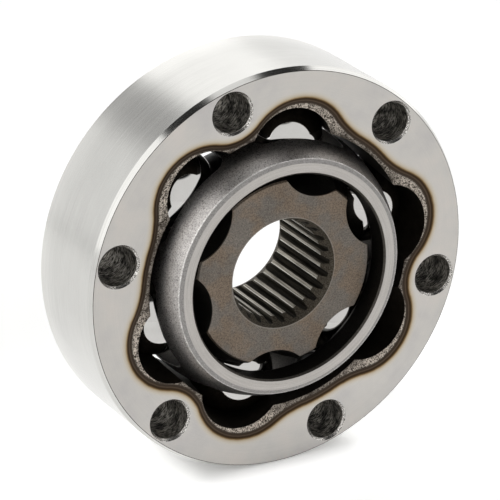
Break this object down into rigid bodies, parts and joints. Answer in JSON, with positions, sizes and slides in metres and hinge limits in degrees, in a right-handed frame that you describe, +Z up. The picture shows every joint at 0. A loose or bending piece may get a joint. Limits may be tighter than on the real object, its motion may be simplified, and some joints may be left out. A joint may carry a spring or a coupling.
{
  "type": "constant velocity joint",
  "caption": "Plunging cross-groove drive shaft joint: a bolt-through outer ring with slanted tracks, caged polished balls and a splined inner race that tilts.",
  "frame": {"origin": "on the joint's axis, halfway through the outer race's width, which is the centre of the bolt circle", "axes": "Y along the joint's axis with the open front and the nearer rim of the cage toward -Y, +Z up as the joint stands on its rim, X to the right seen from the front"},
  "size_m": [0.108, 0.037, 0.108],
  "materials": {
    "ground_race_steel": "fine-turned satin steel, with a brown heat tint round the hardened tracks' mouths",
    "cage_steel": "satin ground steel",
    "phosphated_steel": "matt brown-grey phosphated steel",
    "polished_ball_steel": "mirror-polished bearing steel"
  },
  "bodies": {
    "outer_race": {"outer_race": "ground_race_steel"},
    "cage": {"cage": "cage_steel"},
    "inner_race": {"inner_race": "phosphated_steel"},
    "ball_1": {"ball_1": "polished_ball_steel"},
    "ball_2": {"ball_2": "polished_ball_steel"},
    "ball_3": {"ball_3": "polished_ball_steel"},
    "ball_4": {"ball_4": "polished_ball_steel"},
    "ball_5": {"ball_5": "polished_ball_steel"},
    "ball_6": {"ball_6": "polished_ball_steel"}
  },
  "joints": [
    {"name": "articulation", "type": "hinge", "parent": "outer_race", "child": "inner_race", "pos_m": [0, -0.0008, 0], "axis": [0, 0, 1], "range_deg": [-20, 20]},
    {"name": "cage_tilt", "type": "hinge", "parent": "outer_race", "child": "cage", "pos_m": [0, -0.0008, 0], "axis": [0, 0, 1], "range_deg": [-10, 10]},
    {"name": "ball_1_travel", "type": "slide", "parent": "outer_race", "child": "ball_1", "axis": [0.2686, 0.9613, -0.062], "range_m": [-0.0015, 0.0015]},
    {"name": "ball_2_travel", "type": "slide", "parent": "outer_race", "child": "ball_2", "axis": [-0.188, 0.9613, -0.2016], "range_m": [-0.0045, 0.0045]},
    {"name": "ball_3_travel", "type": "slide", "parent": "outer_race", "child": "ball_3", "axis": [-0.0806, 0.9613, 0.2636], "range_m": [-0.0058, 0.0058]},
    {"name": "ball_4_travel", "type": "slide", "parent": "outer_race", "child": "ball_4", "axis": [0.2686, 0.9613, -0.062], "range_m": [-0.0016, 0.0016]},
    {"name": "ball_5_travel", "type": "slide", "parent": "outer_race", "child": "ball_5", "axis": [-0.188, 0.9613, -0.2016], "range_m": [-0.0045, 0.0045]},
    {"name": "ball_6_travel", "type": "slide", "parent": "outer_race", "child": "ball_6", "axis": [-0.0806, 0.9613, 0.2636], "range_m": [-0.00563, 0.00563]}
  ],
  "couplings": [
    {"joint": "articulation", "follows": "ball_6_travel", "rad_per_m": 62.035},
    {"joint": "cage_tilt", "follows": "ball_6_travel", "rad_per_m": 31.018},
    {"joint": "ball_1_travel", "follows": "ball_6_travel", "ratio": 0.22793},
    {"joint": "ball_2_travel", "follows": "ball_6_travel", "ratio": -0.75873},
    {"joint": "ball_3_travel", "follows": "ball_6_travel", "ratio": -0.99563},
    {"joint": "ball_4_travel", "follows": "ball_6_travel", "ratio": -0.24254},
    {"joint": "ball_5_travel", "follows": "ball_6_travel", "ratio": 0.76895}
  ]
}
